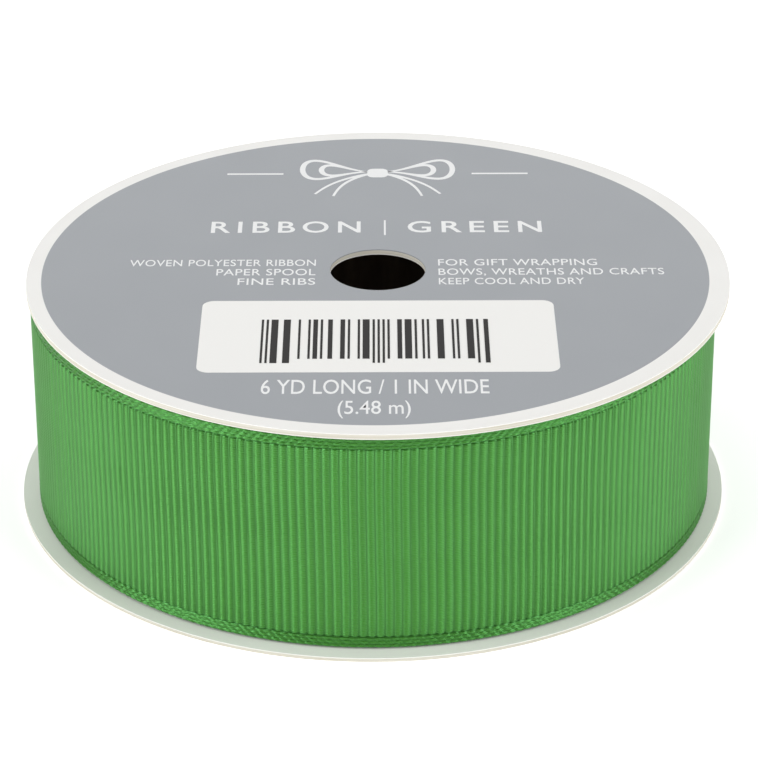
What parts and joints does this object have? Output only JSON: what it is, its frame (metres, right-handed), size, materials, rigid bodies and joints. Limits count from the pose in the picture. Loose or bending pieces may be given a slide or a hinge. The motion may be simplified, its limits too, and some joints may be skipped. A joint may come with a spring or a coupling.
{
  "type": "ribbon spool",
  "caption": "Round flat spool of ribbed ribbon wound on a wide paper core between two board flanges with a spindle hole; the taped free end peels off.",
  "frame": {"origin": "centre of the lower flange's resting face, on the winding's axis", "axes": "+Z along the winding's axis, up out of the printed flange; the spindle hole is parallel to it and 0.65 mm towards +X; +X to the right and +Y away from a reader of the printed face"},
  "size_m": [0.0818, 0.0818, 0.0271],
  "materials": {
    "grey_board": "matte",
    "liner_paper": "matte",
    "printed_paper": "satin",
    "kraft_core": "matte",
    "hot_melt_glue": "satin",
    "clear_tape": "gloss",
    "ribbon": "satin"
  },
  "bodies": {
    "spool": {"lower_flange_board": "grey_board", "lower_inner_liner": "liner_paper", "upper_inner_liner": "liner_paper", "upper_flange_board": "grey_board", "upper_face_paper": "printed_paper", "core_outer_ply": "kraft_core", "core_middle_ply": "kraft_core", "core_inner_ply": "kraft_core", "lower_glue_bead": "hot_melt_glue", "upper_glue_bead": "hot_melt_glue", "ribbon_start_tape": "clear_tape", "ribbon_winding": "ribbon"},
    "tail_1": {"ribbon_tail_1": "ribbon"},
    "tail_2": {"ribbon_tail_2": "ribbon"},
    "tail_3": {"ribbon_tail_3": "ribbon"},
    "tail_4": {"ribbon_tail_4": "ribbon", "end_tape_on_tail": "clear_tape"},
    "tape_flap": {"end_tape_flap": "clear_tape"}
  },
  "joints": [
    {"name": "tail_peel", "type": "hinge", "parent": "spool", "child": "tail_1", "pos_m": [0.01344, 0.03694, 0.0133], "axis": [0, 0, -1], "range_deg": [0, 30]},
    {"name": "tail_bend_2", "type": "hinge", "parent": "tail_1", "child": "tail_2", "pos_m": [0, 0.03933, 0.0133], "axis": [0, 0, -1], "range_deg": [0, 30]},
    {"name": "tail_bend_3", "type": "hinge", "parent": "tail_2", "child": "tail_3", "pos_m": [-0.01346, 0.03698, 0.0133], "axis": [0, 0, -1], "range_deg": [0, 30]},
    {"name": "tail_bend_4", "type": "hinge", "parent": "tail_3", "child": "tail_4", "pos_m": [-0.02531, 0.03016, 0.0133], "axis": [0, 0, -1], "range_deg": [0, 30]},
    {"name": "end_tape_lift", "type": "hinge", "parent": "tail_4", "child": "tape_flap", "pos_m": [-0.03426, 0.01966, 0.0133], "axis": [0, 0, -1], "range_deg": [0, 120]}
  ],
  "couplings": [
    {"joint": "tail_bend_2", "follows": "tail_peel", "ratio": 1},
    {"joint": "tail_bend_3", "follows": "tail_peel", "ratio": 1},
    {"joint": "tail_bend_4", "follows": "tail_peel", "ratio": 1}
  ]
}
